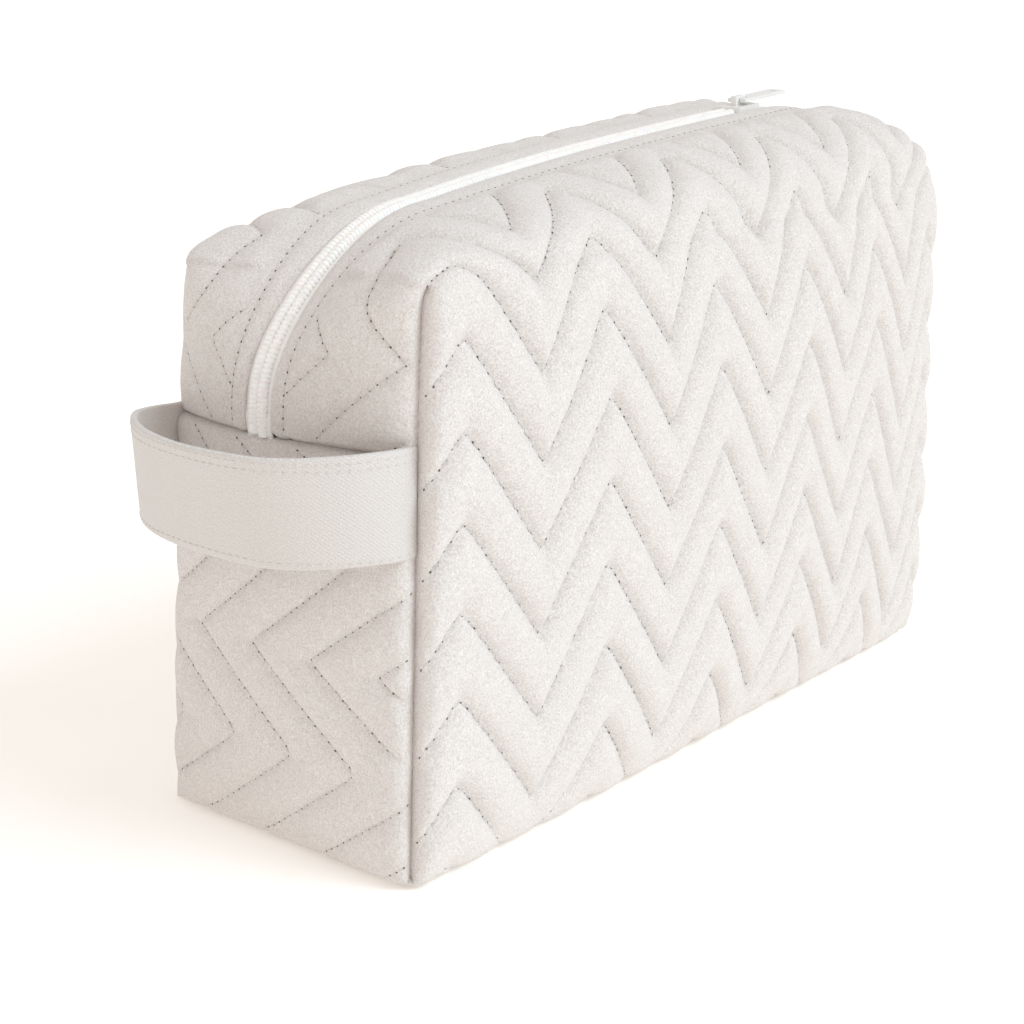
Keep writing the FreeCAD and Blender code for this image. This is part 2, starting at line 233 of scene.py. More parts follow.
def row_line(share, shape, flat, samples=360):
    """One row of the top flap, from the near end seam over the top to the far one. Share is 0 at the
    shoulder and 1 at the zip's edge. Returns the points and the length along them."""
    seam_x = flat.half_length - SEAM_DROP
    reach = 3 * MM + (shape.fold_length - 3 * MM) * share ** 1.15
    drop = 3 * MM + (shape.fold_height - 3 * MM) * share ** 1.15
    lean = math.cos(share * math.pi / 2) ** (2 / 2.4)
    rise = math.sin(share * math.pi / 2) ** (2 / 2.4)
    seam_y = flat.half_width - SEAM_DROP
    end_y = seam_y - (seam_y - flat.zip_edge) * share
    out = shape.end_bulge * (1 - (end_y / seam_y) ** 2)
    end_x = seam_x + (SEAM_DROP + out) * smooth_step(share * 8)
    x = np.linspace(-end_x + reach, end_x - reach, samples)
    sag = (shape.shoulder_height - shape.corner_height) * pillow(x / flat.half_length)
    shoulder = shape.corner_height + sag
    top_z = shoulder + (crest_height(x, shape, flat) - shoulder) * rise
    top_y = np.full_like(x, flat.zip_edge + (flat.half_width - flat.zip_edge) * lean)
    turn = np.linspace(0, math.pi / 2, 60)[:-1]
    ends = []
    for sign, top in ((-1, 0), (1, -1)):
        fold_x = sign * (end_x - reach * (1 - np.cos(turn)))
        fold_z = top_z[top] - drop + drop * np.sin(turn)
        fold_y = end_y + (top_y[top] - end_y) * smooth_step(turn / (math.pi / 2))
        rise_z = np.linspace(flat.seam, fold_z[0], 24)[:-1]
        wall_x = np.full_like(rise_z, fold_x[0])
        wall_y = np.full_like(rise_z, end_y)
        ends.append([np.concatenate(pair) for pair in
                     ((wall_x, fold_x), (wall_y, fold_y), (rise_z, fold_z))])
    columns = [np.concatenate((near, middle, far[::-1])) for near, middle, far
               in zip(ends[0], (x, top_y, top_z), ends[1])]
    points = np.stack(columns, axis=1)
    return points, travel_along(points)


def along_row(points, travel, p, flat):
    """Points of a row at the flat places p, and the row's outward normals there."""
    target = (p + flat.wing_end) / (2 * flat.wing_end) * travel[-1]
    found = np.stack([np.interp(target, travel, points[:, axis]) for axis in range(3)], axis=1)
    tangent = np.gradient(points, travel, axis=0)
    normal = np.stack((-tangent[:, 2], np.zeros(len(points)), tangent[:, 0]), axis=1)
    normal /= np.linalg.norm(normal, axis=1)[:, None]
    normals = np.stack([np.interp(target, travel, normal[:, axis]) for axis in range(3)], axis=1)
    return found, normals


def fold_top(p, q, shape, flat):
    """The top flap: rows that run over both ends, and the turned-under edge beside the zip."""
    found = np.zeros((len(p), 3))
    turn_radius = 0.9 * MM
    for row in np.unique(np.round(q, 6)):
        chosen = np.abs(q - row) < NEAR
        share = min(max((row - flat.face_end) / shape.top_flap, 0.0), 1.0)
        points, travel = row_line(share, shape, flat)
        places, normals = along_row(points, travel, p[chosen], flat)
        if row < flat.face_end + SEAM_REACH:
            on_end = np.abs(p[chosen]) > flat.half_length
            sunk = roll(np.full(on_end.shape, row - flat.face_end), SEAM_REACH * 2, SEAM_REACH * 2)[1]
            limit = flat.half_length - sunk
            side = np.sign(p[chosen])
            places[:, 0] = np.where(on_end, side * np.minimum(np.abs(places[:, 0]), limit), places[:, 0])
        seam_gap = flat.wing_end - np.abs(p[chosen])
        sunk = roll(seam_gap, LONG_PANEL, LONG_PANEL)[1] * END_SEAM_SHARE
        sunk = sunk * smooth_step((row - flat.face_end) / (12 * MM))
        places[:, 0] -= np.sign(places[:, 0]) * sunk
        past = row - flat.top_end
        if past > NEAR:
            angle = min(past / turn_radius, math.pi)
            places -= normals * turn_radius * (1 - math.cos(angle))
            places[:, 1] -= turn_radius * math.sin(angle) - max(past - math.pi * turn_radius, 0)
        found[chosen] = places
    return found


def fold_sheet(flat_points, side):
    """Places on the bag for points of the flat sheet. Side is -1 for the front, 1 for the back."""
    shape = settings().shape
    flat = layout()
    p, q = flat_points[:, 0], flat_points[:, 1]
    seam_x = flat.half_length - SEAM_DROP
    seam_y = flat.half_width - SEAM_DROP
    along, sunk = roll(flat.half_length - np.abs(p), flat.half_length, seam_x)
    # the long face
    up = q - flat.half_width
    level = (up - shape.corner_height / 2) / (shape.corner_height / 2)
    swell = pillow(level)
    face_x = np.sign(p) * (seam_x - along)
    face_y = flat.half_width - sunk + shape.face_bulge * pillow(p / flat.half_length) * swell
    places = np.stack((face_x, face_y, np.maximum(up, 0)), axis=1)
    # the bottom
    bottom = (q <= flat.half_width + NEAR) & (np.abs(p) <= flat.half_length + NEAR)
    corner = np.hypot(flat.half_length - np.abs(p), flat.half_width - np.abs(q))
    pinch = SEAM_DROP * np.clip(1 - corner / SEAM_REACH, 0, 1)
    places[bottom] = np.stack((p - np.sign(p) * pinch, q - np.sign(q) * pinch, 1.1 * MM + pinch * 0.5),
                              axis=1)[bottom]
    # the lower end panels
    wing = (q <= flat.half_width + NEAR) & (np.abs(p) > flat.half_length + NEAR)
    height = np.abs(p) - flat.half_length
    across, side_sunk = roll(flat.half_width - np.abs(q), flat.half_width, seam_y)
    lift, top_sunk = roll(flat.seam - height, flat.seam, flat.seam)
    flap_y = np.sign(q) * (seam_y - across)
    top_sunk = top_sunk * END_SEAM_SHARE * smooth_step((flat.half_width - np.abs(q)) / (12 * MM))
    out = shape.end_bulge * (1 - (flap_y / seam_y) ** 2) * np.sin(np.clip(height / flat.seam, 0, 1) * 1.75)
    flap_x = np.sign(p) * (flat.half_length - side_sunk - top_sunk + out)
    places[wing] = np.stack((flap_x, flap_y, flat.seam - lift), axis=1)[wing]
    # the top
    top = q >= flat.face_end - NEAR
    places[top] = fold_top(p[top], q[top], shape, flat)
    places[:, 1] *= side
    return slump(places)


# ------------------------------------------------------------------ quilting pattern
def soft_abs(value, radius):
    return np.sqrt(value * value + radius * radius) - radius


def zones():
    """The pattern's run on the long faces and top, and on the lower end panels: where a peak lies along
    the bag, where a valley lies across it, how the lines are drawn aside where they turn on to an end,
    and how each wave is a little shorter than the one before it."""
    quilting = settings().quilting
    face = SimpleNamespace(first_peak=-104 * MM, valley=114 * MM, half_wave=quilting.half_wave,
                           rise=quilting.rise, lift=7 * MM, draw=3.5 * MM, tighten=0.0345)
    end = SimpleNamespace(first_peak=-140.5 * MM, valley=11 * MM, half_wave=quilting.end_half_wave,
                          rise=quilting.end_rise, lift=0, draw=0, tighten=1e-6)
    return face, end


def zigzag(p, q, zone):
    """Height of a zigzag line above its valleys at a flat place, its tips slightly rounded."""
    flat = layout()
    on_end = smooth_step((np.abs(p) - 101 * MM) / (24 * MM))
    on_end = on_end * smooth_step((q - flat.face_end + 14 * MM) / (14 * MM))
    place = (p - np.sign(p) * zone.draw * on_end - zone.first_peak) / (2 * zone.half_wave)
    waves = (1 - np.sqrt(np.maximum(1 - 4 * zone.tighten * place, 0.01))) / (2 * zone.tighten)
    phase = (np.mod(waves + 0.5, 1) - 0.5) * 2 * zone.half_wave
    slope = zone.rise / zone.half_wave
    return zone.rise - slope * soft_abs(phase, 1.2 * MM) + zone.lift * on_end


def line_distance(p, q, zone):
    """Distance from a flat point to the nearest quilting line."""
    spacing = settings().quilting.spacing
    above = np.mod(q - zone.valley - zigzag(p, q, zone), spacing)
    slant = math.cos(math.atan2(zone.rise, zone.half_wave))
    return np.minimum(above, spacing - above) * slant


def ripple(a, b, seed):
    """A smooth, repeatable unevenness between about -1 and 1, its waves a few units long."""
    total = np.zeros_like(a)
    for step in range(5):
        turn = seed * 1.7 + step * 2.4
        reach = 1 + 0.37 * step
        total += np.sin(reach * (a * math.cos(turn) + b * math.sin(turn)) + seed * 3.1 + step * 1.9)
    return total / 3.2


def puff_height(flat_points, side):
    """How far the wadding lifts the fabric at each flat point."""
    quilting = settings().quilting
    flat = layout()
    p, q = flat_points[:, 0], flat_points[:, 1]
    past_end = np.abs(p) > flat.half_length
    wing = past_end & (q <= flat.half_width + NEAR)
    top_wing = past_end & ~wing
    face_zone, end_zone = zones()
    distance = np.where(wing, line_distance(p, q, end_zone), line_distance(p, q, face_zone))
    half_band = quilting.spacing * math.cos(math.atan2(quilting.rise, quilting.half_wave)) / 2
    share = np.clip(distance / half_band, 0, 1)
    top = np.where(wing, quilting.end_puff, quilting.face_puff)
    top = np.where(top_wing, UPPER_END_PUFF, top)
    top = top * (1 + 0.16 * ripple(p / (14 * MM), q / (14 * MM), 2 + side))
    height = top * (1 - (1 - share) ** 2.1) ** 0.75
    # gathers run off the stitches
    gather = ripple(p / (1.5 * MM), q / (2.4 * MM), 5 + side) * np.exp(-distance / (2.2 * MM))
    height += 0.16 * MM * gather * np.clip(distance / (0.8 * MM), 0, 1)
    height -= 0.25 * MM * np.exp(-(distance / (0.7 * MM)) ** 2)
    # the whole cloth is slightly uneven
    height += 0.7 * MM * ripple(p / (30 * MM), q / (30 * MM), 7 + side)
    # nothing lifts at the sewn edges, and little where the bag stands
    in_from_end = flat.half_length - np.abs(p)
    above_face = q - flat.face_end
    seam_gap = np.where(above_face < 0, in_from_end, np.hypot(in_from_end, above_face))
    seam_gap = np.where(top_wing, np.minimum(above_face, flat.wing_end - np.abs(p)), seam_gap)
    seam_gap = np.where(wing, np.minimum(flat.half_width - np.abs(q), flat.flap_end - np.abs(p)), seam_gap)
    edge = (seam_gap + 0.3 * MM) / ((4.5 if side < 0 else 8) * MM)
    from_stitches = flat.top_end - TOPSTITCH - 1.0 * MM - q
    edge = np.where(above_face > 0, np.minimum(edge, from_stitches / (5 * MM)), edge)
    foot = np.where(wing, np.abs(p) - flat.half_length, np.abs(q) - flat.half_width)
    height *= 0.3 + 0.7 * smooth_step(foot / (16 * MM))
    height *= 1 - (0.2 if side < 0 else 0.4) * smooth_step((q - flat.face_end + 5 * MM) / (20 * MM))
    # the folded edge beside the zip stands up a little inside its row of stitches
    welt = flat.top_end - q
    ridge = 0.45 * MM * np.clip(1 - ((welt - 1.9 * MM) / (2.1 * MM)) ** 2, 0, 1)
    ridge -= 0.3 * MM * np.exp(-((welt - TOPSTITCH) / (0.5 * MM)) ** 2)
    ridge = np.where(welt > -0.1 * MM, ridge, 0)
    return height * smooth_step(edge) + ridge


def crease(points, flat_points):
    """Pulls the cloth in along the seams, both pieces of a seam alike."""
    flat = layout()
    p, q = np.abs(flat_points[:, 0]), flat_points[:, 1]
    above_face = q - flat.face_end
    on_flap = (p > flat.half_length) & (q <= flat.half_width + NEAR)
    on_wing = (p > flat.half_length) & ~on_flap
    upright = np.where(above_face < 0, flat.half_length - p, np.hypot(flat.half_length - p, above_face))
    upright = np.where(on_wing, above_face, upright)
    upright = np.where(on_flap, flat.half_width - np.abs(q), upright)
    upright = np.where(q < flat.half_width, np.where(on_flap, upright, 1), upright)
    level = np.where(on_flap, flat.flap_end - p, np.where(on_wing, flat.wing_end - p, 1))
    inward = -np.sign(points[:, :2]) * math.sqrt(0.5)
    depth = 2.2 * MM * np.exp(-(upright / (0.8 * MM)) ** 2)
    moved = points.copy()
    moved[:, :2] += inward * depth[:, None]
    moved[:, 0] -= np.sign(points[:, 0]) * (1.8 * MM * np.exp(-(level / (0.8 * MM)) ** 2)
                                            * smooth_step((upright - 0.5 * MM) / (5 * MM)))
    return moved


# ------------------------------------------------------------------ mesh helpers
def deselect():
    if bpy.context.object and bpy.context.object.mode != "OBJECT":
        bpy.ops.object.mode_set(mode="OBJECT")
    bpy.ops.object.select_all(action="DESELECT")


def activate(obj):
    deselect()
    obj.select_set(True)
    bpy.context.view_layer.objects.active = obj


def apply_modifier(obj, kind, **values):
    activate(obj)
    modifier = obj.modifiers.new(kind.title(), kind)
    for name, value in values.items():
        setattr(modifier, name, value)
    bpy.ops.object.modifier_apply(modifier=modifier.name)


def points_of(obj, kind="co"):
    found = np.empty(len(obj.data.vertices) * 3)
    obj.data.vertices.foreach_get(kind, found)
    return found.reshape(-1, 3)


def normals_of(obj):
    return points_of(obj, "normal")


def set_points(obj, points):
    obj.data.vertices.foreach_set("co", np.asarray(points, np.float32).ravel())
    obj.data.update()


def store_flat(obj, points):
    """Keeps the flat sheet's own measure on the mesh, for the quilting and the nap."""
    attribute = obj.data.attributes.get("flat") or obj.data.attributes.new("flat", "FLOAT_VECTOR", "POINT")
    attribute.data.foreach_set("vector", np.asarray(points, np.float32).ravel())


def flat_of(obj):
    attribute = obj.data.attributes["flat"]
    found = np.empty(len(obj.data.vertices) * 3, np.float32)
    attribute.data.foreach_get("vector", found)
    return found.reshape(-1, 3).astype(float)


def flat_patch(low, high, step, rows=None):
    """A flat grid between two corners, its faces about step across unless its rows are counted out."""
    columns = max(round((high[0] - low[0]) / step), 1)
    rows = rows or max(round((high[1] - low[1]) / step), 1)
    deselect()
    bpy.ops.mesh.primitive_grid_add(x_subdivisions=columns, y_subdivisions=rows, size=1)
    patch = bpy.context.object
    points = points_of(patch)
    points[:, 0] = low[0] + (points[:, 0] + 0.5) * (high[0] - low[0])
    points[:, 1] = low[1] + (points[:, 1] + 0.5) * (high[1] - low[1])
    set_points(patch, points)
    return patch


def join_patches(name, patches):
    """One sheet from patches that meet edge to edge."""
    deselect()
    for patch in patches:
        patch.select_set(True)
    bpy.context.view_layer.objects.active = patches[0]
    if len(patches) > 1:
        bpy.ops.object.join()
    sheet = bpy.context.object
    name_piece(sheet, name)
    edit_all(sheet, bpy.ops.mesh.remove_doubles, threshold=0.02 * MM)
    return sheet


def border_of(obj):
    """True for each vertex on an open edge of the mesh."""
    used = np.zeros(len(obj.data.edges), int)
    edges = {tuple(sorted(edge.vertices)): edge.index for edge in obj.data.edges}
    for face in obj.data.polygons:
        for key in face.edge_keys:
            used[edges[tuple(sorted(key))]] += 1
    border = np.zeros(len(obj.data.vertices), bool)
    for edge in obj.data.edges:
        if used[edge.index] == 1:
            border[list(edge.vertices)] = True
    return border


def name_piece(obj, name):
    obj.name = name
    obj.data.name = name


def shade_smooth(obj):
    activate(obj)
    bpy.ops.object.shade_smooth()


def edit_all(obj, operator, **values):
    """Runs an edit-mode operator on the whole mesh."""
    activate(obj)
    bpy.ops.object.mode_set(mode="EDIT")
    bpy.ops.mesh.select_all(action="SELECT")
    operator(**values)
    bpy.ops.object.mode_set(mode="OBJECT")


def close_outward(obj):
    """Turns a closed mesh's faces outwards."""
    edit_all(obj, bpy.ops.mesh.normals_make_consistent, inside=False)


def finish_closed(obj, material):
    """Turns a closed mesh's faces outwards, shades it smooth and gives it its material."""
    close_outward(obj)
    shade_smooth(obj)
    set_material(obj, material)


def open_outward(obj, middle):
    """Turns an open sheet's faces to the outside, away from a point within."""
    close_outward(obj)
    looks = ((points_of(obj) - np.array(middle)) * normals_of(obj)).sum()
    if looks < 0:
        edit_all(obj, bpy.ops.mesh.flip_normals)


def mesh_piece(name, points, faces):
    """A piece from points and faces, for threads and teeth."""
    mesh = bpy.data.meshes.new(name)
    mesh.from_pydata([tuple(point) for point in points], [], faces)
    mesh.update()
    piece = bpy.data.objects.new(name, mesh)
    bpy.context.scene.collection.objects.link(piece)
    return piece


# ------------------------------------------------------------------ from the flat sheet to the bag
class SheetMap:
    """Finds the place on a finished sheet for a point of the flat sheet."""

    def __init__(self, obj):
        self.points = [vertex.co.copy() for vertex in obj.data.vertices]
        self.normals = [vertex.normal.copy() for vertex in obj.data.vertices]
        self.flat = [Vector((*place[:2], 0)) for place in flat_of(obj)]
        self.faces = [tuple(face.vertices) for face in obj.data.polygons]
        self.tree = BVHTree.FromPolygons(self.flat, self.faces)

    def find(self, p, q):
        """(place, normal) for a flat point, or None where the sheet doesn't reach."""
        spot = Vector((p, q, 0))
        _, _, index, _ = self.tree.find_nearest(spot, 0.4 * MM)
        if index is None:
            return None
        corners = self.faces[index]
        weights = [1 / ((self.flat[corner] - spot).length + 1e-7) ** 2 for corner in corners]
        total = sum(weights)
        place = Vector()
        normal = Vector()
        for corner, weight in zip(corners, weights):
            place += self.points[corner] * (weight / total)
            normal += self.normals[corner] * weight
        return place, normal.normalized()


def tube_faces(first, rings, sides):
    """The faces of a closed tube, for rings of points that follow each other from the first one on."""
    faces = []
    for ring in range(rings - 1):
        for side in range(sides):
            low = first + ring * sides + side
            next_low = first + ring * sides + (side + 1) % sides
            faces.append((low, next_low, next_low + sides, low + sides))
    faces.append(tuple(first + side for side in reversed(range(sides))))
    faces.append(tuple(first + (rings - 1) * sides + side for side in range(sides)))
    return faces


def thread_piece(name, stitches, radius, sink):
    """Short rounded threads, each from one point to another on the cloth with the cloth's normal."""
    sides = 6
    # rings along a stitch: share of its run, then size and lift as shares of the thread's radius
    rings = ((0.0, 0.55, -0.9), (0.16, 1.0, 0.15), (0.5, 1.0, 0.5), (0.84, 1.0, 0.15), (1.0, 0.55, -0.9))
    points = []
    faces = []
    for start, end, normal in stitches:
        run = end - start
        if run.length < 0.2 * MM:
            continue
        across = run.cross(normal).normalized()
        first = len(points)
        for share, size, lift in rings:
            centre = start + run * share + normal * (radius * lift - sink)
            for side in range(sides):
                turn = 2 * math.pi * side / sides
                points.append(centre + (across * math.cos(turn) + normal * math.sin(turn)) * radius * size)
        faces += tube_faces(first, len(rings), sides)
    piece = mesh_piece(name, points, faces)
    shade_smooth(piece)
    return piece


def hole_shade_piece(name, holes, radius):
    """Painted shade where the needle went in: small dark ovals along the line of stitches, standing in for
    the shade inside each hole.
    """
    sides = 8
    points = []
    faces = []
    for place, normal, along in holes:
        along = (along - normal * along.dot(normal)).normalized()
        across = normal.cross(along)
        first = len(points)
        points.append(place + normal * 0.10 * MM)
        for side in range(sides):
            turn = 2 * math.pi * side / sides
            points.append(place + (along * math.cos(turn) * 1.5 + across * math.sin(turn)) * radius
                          + normal * 0.02 * MM)
        for side in range(sides):
            faces.append((first, first + 1 + side, first + 1 + (side + 1) % sides))
    piece = mesh_piece(name, points, faces)
    shade_smooth(piece)
    return piece


def walk(line, pitch):
    """Places along a polyline of flat points, one for each pitch."""
    places = []
    carried = 0.0
    for (p0, q0), (p1, q1) in zip(line, line[1:]):
        run = math.hypot(p1 - p0, q1 - q0)
        while carried < run:
            share = carried / run
            places.append((p0 + (p1 - p0) * share, q0 + (q1 - q0) * share))
            carried += pitch
        carried -= run
    return places


def sew(cloth, lines, pitch, filled=0.72):
    """Stitches, and the places for the needle holes' painted shade, along flat lines on a cloth."""
    stitches = []
    holes = []
    for line in lines:
        places = walk(line, pitch)
        for (p0, q0), (p1, q1) in zip(places, places[1:]):
            end_p = p0 + (p1 - p0) * filled
            end_q = q0 + (q1 - q0) * filled
            start = cloth.find(p0, q0)
            end = cloth.find(end_p, end_q)
            if start and end and (end[0] - start[0]).length < 2 * pitch:
                stitches.append((start[0], end[0], start[1]))
                holes.append((start[0], start[1], (end[0] - start[0]).normalized()))
    return stitches, holes


def zigzag_lines(zone, low_p, high_p, low_q, high_q):
    """The quilting lines that cross a stretch of the flat sheet, as lists of flat points."""
    spacing = settings().quilting.spacing
    steps = np.arange(low_p, high_p, 1.0 * MM)
    first = math.floor((low_q - zone.valley - zone.rise - zone.lift) / spacing)
    last = math.ceil((high_q - zone.valley) / spacing)
    lines = []
    for index in range(first, last + 1):
        foot = zone.valley + index * spacing
        heights = np.full_like(steps, zone.rise / 2)
        for _ in range(12):
            heights = zigzag(steps, foot + heights, zone)
        lines.append(list(zip(steps, foot + heights)))
    return lines


def clip_lines(lines, keep):
    """The stretches of each line whose points pass a test."""
    kept = []
    for line in lines:
        stretch = []
        for point in line:
            if keep(*point):
                stretch.append(point)
            elif stretch:
                kept.append(stretch)
                stretch = []
        kept.append(stretch)
    return [stretch for stretch in kept if len(stretch) > 3]


# ------------------------------------------------------------------ materials
def linear(hex_text):
    """A colour written as on paint charts, made linear for the shader."""
    channels = [int(hex_text[place:place + 2], 16) / 255 for place in (1, 3, 5)]
    return [c / 12.92 if c <= 0.04045 else ((c + 0.055) / 1.055) ** 2.4 for c in channels] + [1.0]


def node(tree, kind, *values, options=None, ramp=(), **inputs):
    """Adds a node with its options and links. Values go to its first sockets in turn, and an input named
    with underscores to the socket of that name: a number, a colour, an output, or a node for its first
    output. Ramp holds the colours at the low and high end of a pattern's range."""
    added = tree.nodes.new(kind)
    for name, value in (options or {}).items():
        setattr(added, name, value)
    for stop, place, color in zip((0, 1), (0.33, 0.67), ramp):
        added.color_ramp.elements[stop].position = place
        added.color_ramp.elements[stop].color = linear(color)
    named = [(name.replace("_", " "), value) for name, value in inputs.items()]
    for name, value in [*enumerate(values), *named]:
        if isinstance(value, bpy.types.Node):
            value = value.outputs[0]
        if isinstance(value, bpy.types.NodeSocket):
            tree.links.new(value, added.inputs[name])
        else:
            added.inputs[name].default_value = value
    return added


def new_material(name, build):
    """A material of that name, its shader made by build from the node tree and the place on the object."""
    material = bpy.data.materials.new(name)
    material.use_nodes = True
    tree = material.node_tree
    tree.nodes.clear()
    place = node(tree, "ShaderNodeTexCoord").outputs["Object"]
    node(tree, "ShaderNodeOutputMaterial", Surface=build(tree, place))
    return material


def suede_velvet(tree, place):
    """Brushed polyester suede: a short nap that scatters light, with faint stroked patches. The nap is
    drawn coarser than its fibres, so that it shows."""
    nap = node(tree, "ShaderNodeTexNoise", Vector=place, Scale=1 / (0.5 * MM), Detail=3.0, Roughness=0.7)
    stroked = node(tree, "ShaderNodeTexNoise", Vector=place, Scale=1 / (3.2 * MM), Detail=4.0, Roughness=0.6)
    share = node(tree, "ShaderNodeMath", stroked, 0.12, options={"operation": "MULTIPLY"})
    patches = node(tree, "ShaderNodeMath", nap, 0.88, share, options={"operation": "MULTIPLY_ADD"})
    color = node(tree, "ShaderNodeValToRGB", patches, ramp=("#DAD1CB", "#FCF7F4"))
    fuzz = node(tree, "ShaderNodeBump", Height=nap, Distance=0.46 * MM, Strength=1.0)
    soft = node(tree, "ShaderNodeBump", Height=stroked, Distance=0.4 * MM, Strength=0.2, Normal=fuzz)
    return node(tree, "ShaderNodeBsdfPrincipled", Base_Color=color, Roughness=0.95,
                Sheen_Weight=0.35, Sheen_Roughness=0.45, Sheen_Tint=linear("#FFFAF6"),
                Specular_IOR_Level=0.15, Normal=soft)


def satin_twill(tree, place):
    """Satin twill tape: fine slanting ribs that catch the light, brighter along their tops. The ribs are
    drawn about twice as coarse as woven, so that they show."""
    flat = node(tree, "ShaderNodeAttribute", options={"attribute_name": "flat"}).outputs["Vector"]
    turned = node(tree, "ShaderNodeMapping", Vector=flat, Rotation=(0, 0, math.radians(52)))
    ribs = node(tree, "ShaderNodeTexWave", options={"wave_type": "BANDS", "bands_direction": "X"},
                Vector=turned, Scale=1 / (0.75 * MM) / math.pi, Distortion=0.6, Detail=1.0, Detail_Scale=3.0)
    thread = node(tree, "ShaderNodeTexNoise", Vector=flat, Scale=1 / (0.35 * MM), Detail=2.0)
    color = node(tree, "ShaderNodeValToRGB", thread, ramp=("#D1CAC5", "#E2DDD9"))
    ribbed = node(tree, "ShaderNodeBump", Height=ribs.outputs["Fac"], Distance=0.12 * MM, Strength=0.55)
    fine = node(tree, "ShaderNodeBump", Height=thread, Distance=0.08 * MM, Strength=0.5, Normal=ribbed)
    return node(tree, "ShaderNodeBsdfPrincipled", Base_Color=color, Roughness=0.5,
                Sheen_Weight=0.25, Sheen_Roughness=0.35, Anisotropic=0.4,
                Specular_IOR_Level=0.4, Normal=fine)


def plain_weave(tree, place, low, high, pitch, roughness):
    """Plain woven cloth: crossing threads that show up close as a fine check. A wave of the pattern is
    one thread over and one under."""
    warp, weft = (node(tree, "ShaderNodeTexWave", options={"wave_type": "BANDS", "bands_direction": axis},
                       Vector=place, Scale=1 / pitch / (2 * math.pi), Distortion=0.4).outputs["Fac"]
                  for axis in ("X", "Z"))
    crossing = node(tree, "ShaderNodeMath", warp, weft, options={"operation": "MAXIMUM"})
    slub = node(tree, "ShaderNodeTexNoise", Vector=place, Scale=1 / (2 * MM), Detail=3.0)
    color = node(tree, "ShaderNodeValToRGB", slub, ramp=(low, high))
    woven = node(tree, "ShaderNodeBump", Height=crossing, Distance=0.1 * MM, Strength=0.5)
    return node(tree, "ShaderNodeBsdfPrincipled", Base_Color=color, Roughness=roughness,
                Sheen_Weight=0.1, Specular_IOR_Level=0.3, Normal=woven)


def fine_grain(tree, place, low, high, grain, depth, strength, **shader):
    """A surface with one fine grain, which colours it a little and roughens it."""
    pattern = node(tree, "ShaderNodeTexNoise", Vector=place, Scale=1 / grain, Detail=2.0)
    color = node(tree, "ShaderNodeValToRGB", pattern, ramp=(low, high))
    rough = node(tree, "ShaderNodeBump", Height=pattern, Distance=depth, Strength=strength)
    return node(tree, "ShaderNodeBsdfPrincipled", Base_Color=color, Normal=rough, **shader)


def nylon_coil(tree, place):
    """Drawn nylon, faintly see-through, with a soft gleam on each loop. It gives off a little light, so
    that it stays white in the shade."""
    return fine_grain(tree, place, "#EAE7E4", "#F4F1EE", 1.5 * MM, 0.03 * MM, 0.3, Roughness=0.38,
                      Subsurface_Weight=0.15, Subsurface_Scale=1.0 * MM, Specular_IOR_Level=0.5,
                      Emission_Color=linear("#FFFFFF"), Emission_Strength=0.12)


def spun_thread(tree, place, low, high):
    """Polyester sewing thread: a slight gleam along its twist."""
    return fine_grain(tree, place, low, high, 0.3 * MM, 0.05 * MM, 0.5, Roughness=0.55,
                      Specular_IOR_Level=0.4)


def white_enamel(tree, place):
    """Baked enamel over zinc: smooth white with a semi-gloss and the slightest orange peel."""
    return fine_grain(tree, place, "#E9E7E4", "#F3F1EE", 0.8 * MM, 0.02 * MM, 0.4, Roughness=0.28,
                      Coat_Weight=0.3, Coat_Roughness=0.15)


def needle_hole(tree, place):
    """The shaded inside of a needle hole in the nap."""
    shade = node(tree, "ShaderNodeTexNoise", Vector=place, Scale=1 / (1.0 * MM), Detail=1.0)
    color = node(tree, "ShaderNodeValToRGB", shade, ramp=("#5E534C", "#776B63"))
    return node(tree, "ShaderNodeBsdfPrincipled", Base_Color=color, Roughness=1.0, Specular_IOR_Level=0.0)


def studio_paper(tree, place):
    """Matt white studio paper, which gives off a little light so that the floor stays white."""
    tooth = node(tree, "ShaderNodeTexNoise", Vector=place, Scale=1 / (50 * MM), Detail=2.0)
    color = node(tree, "ShaderNodeValToRGB", tooth, ramp=("#FBF8F4", "#FDFAF6"))
    return node(tree, "ShaderNodeBsdfPrincipled", Base_Color=color, Roughness=0.95,
                Specular_IOR_Level=0.0, Emission_Color=linear("#FFFBF5"), Emission_Strength=0.22)


# each material's name, the function that builds its shader, and what more that function needs
MAKERS = {
    "velvet": ("Brushed suede velvet", suede_velvet),
    "twill": ("Satin twill tape", satin_twill),
    "lining": ("Lining weave", plain_weave, "#DDD5CE", "#E8E1DB", 0.45 * MM, 0.75),
    "binding": ("Bias binding weave", plain_weave, "#D8D0C9", "#E4DDD7", 0.4 * MM, 0.8),
    "tape": ("Zip tape weave", plain_weave, "#F7F5F2", "#FEFCFA", 0.5 * MM, 0.8),
    "coil": ("White nylon coil", nylon_coil),
    "thread": ("Quilting thread", spun_thread, "#D3CAC4", "#E3DBD6"),
    "strap thread": ("Strap thread", spun_thread, "#D2CAC5", "#E3DCD8"),
    "hole": ("Needle hole shadow", needle_hole),
    "enamel": ("White enamelled zinc", white_enamel),
    "paper": ("White studio paper", studio_paper),
}
MATERIALS = {}


def set_material(obj, name):
    """Gives a piece the finished material of that name, made the first time it is asked for."""
    if name not in MATERIALS:
        label, maker, *more = MAKERS[name]
        MATERIALS[name] = new_material(label, lambda tree, place: maker(tree, place, *more))
    obj.data.materials.clear()
    obj.data.materials.append(MATERIALS[name])


# ------------------------------------------------------------------ the quilted sheets
SIDE_NAME = {-1: "front", 1: "back"}


def bend_with_mouth(obj):
    """Bakes a piece's place into its mesh."""
    flat = layout()
    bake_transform(obj)


